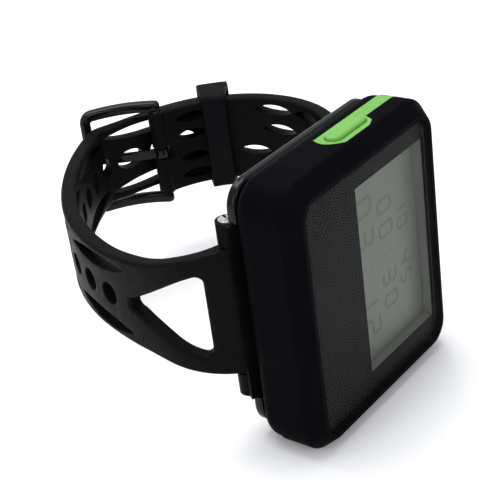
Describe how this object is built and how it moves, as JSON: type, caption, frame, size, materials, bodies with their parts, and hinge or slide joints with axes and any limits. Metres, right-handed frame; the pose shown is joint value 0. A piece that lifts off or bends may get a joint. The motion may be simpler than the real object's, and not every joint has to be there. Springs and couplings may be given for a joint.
{
  "type": "wrist interval timer",
  "caption": "Square interval timer with an LCD window and side buttons, on a carrier plate with a buckled, slotted rubber wrist strap.",
  "frame": {"origin": "under the middle of the whole outline, on the surface that the case's 3 o'clock side rests on", "axes": "+X towards the 12 o'clock end, +Y from the window back towards the buckle, +Z towards the 9 o'clock side"},
  "size_m": [0.0782, 0.0934, 0.0578],
  "materials": {
    "case_black": "soft-touch matt",
    "cover_black": "fine matt",
    "gloss_black": "polished",
    "window_clear": "clear polished",
    "mask_grey": "printed dark grey",
    "bezel_grey": "satin",
    "lcd_glass": "satin reflective display",
    "foil": "bright foil",
    "green_silicone": "satin",
    "board": "solder mask",
    "chip": "moulded",
    "metal": "plated",
    "pin_steel": "turned",
    "cell": "plain wrap",
    "strap_rubber": "satin",
    "seal": "matt",
    "zebra": "matt"
  },
  "bodies": {
    "timer": {"front_case": "case_black", "rear_cover": "cover_black", "case_gasket": "seal", "lens": "window_clear", "window_mask": "mask_grey", "lcd_bezel": "bezel_grey", "lcd_panel": "lcd_glass", "lcd_reflector": "foil", "zebra_connectors": "zebra", "circuit_board": "board", "controller_chip": "chip", "buzzer": "chip", "vibration_motor": "metal", "battery": "cell", "battery_spring": "metal", "battery_contact": "metal", "button_strip": "green_silicone", "tactile_switches": "chip", "case_screws": "pin_steel"},
    "left_button": {"left_button": "green_silicone"},
    "top_button_a": {"top_button_a": "green_silicone"},
    "top_button_b": {"top_button_b": "green_silicone"},
    "battery_door": {"battery_door": "cover_black"},
    "motor_weight": {"motor_weight": "metal"},
    "band": {"carrier_plate": "gloss_black", "mounting_tongue": "cover_black", "tongue_screws": "pin_steel", "lug_rail_lower": "cover_black", "lug_rail_upper": "cover_black", "rail_screws": "pin_steel", "strap_lower": "strap_rubber", "strap_upper": "strap_rubber", "buckle_frame": "gloss_black", "buckle_prong": "gloss_black", "buckle_spring_bar": "pin_steel"},
    "keeper": {"keeper_loop": "strap_rubber"},
    "pin_lower": {"lug_pin_lower": "pin_steel"},
    "pin_upper": {"lug_pin_upper": "pin_steel"}
  },
  "joints": [
    {"name": "left_button_press", "type": "slide", "parent": "timer", "child": "left_button", "axis": [0, 0, -1], "range_m": [0, 0.0004], "stiffness_N_per_m": 700},
    {"name": "top_button_a_press", "type": "slide", "parent": "timer", "child": "top_button_a", "axis": [-1, 0, 0], "range_m": [0, 0.0004], "stiffness_N_per_m": 700},
    {"name": "top_button_b_press", "type": "slide", "parent": "timer", "child": "top_button_b", "axis": [-1, 0, 0], "range_m": [0, 0.0004], "stiffness_N_per_m": 700},
    {"name": "battery_door_slide", "type": "slide", "parent": "timer", "child": "battery_door", "axis": [-1, 0, 0], "range_m": [0, 0.016]},
    {"name": "motor_spin", "type": "hinge", "parent": "timer", "child": "motor_weight", "pos_m": [0.00282, -0.03699, 0.0475], "axis": [0, 0, 1], "continuous": true},
    {"name": "timer_release", "type": "slide", "parent": "timer", "child": "band", "axis": [1, 0, 0], "range_m": [0, 0.022]},
    {"name": "keeper_slide", "type": "hinge", "parent": "band", "child": "keeper", "pos_m": [0.01142, 0.00726, 0.0285], "axis": [0, 0, 1], "range_deg": [-20, 10]},
    {"name": "lower_pin_turn", "type": "hinge", "parent": "band", "child": "pin_lower", "pos_m": [-0.03027, -0.02854, 0.0285], "axis": [0, 0, 1], "continuous": true},
    {"name": "upper_pin_turn", "type": "hinge", "parent": "band", "child": "pin_upper", "pos_m": [0.01153, -0.02854, 0.0285], "axis": [0, 0, 1], "continuous": true}
  ]
}
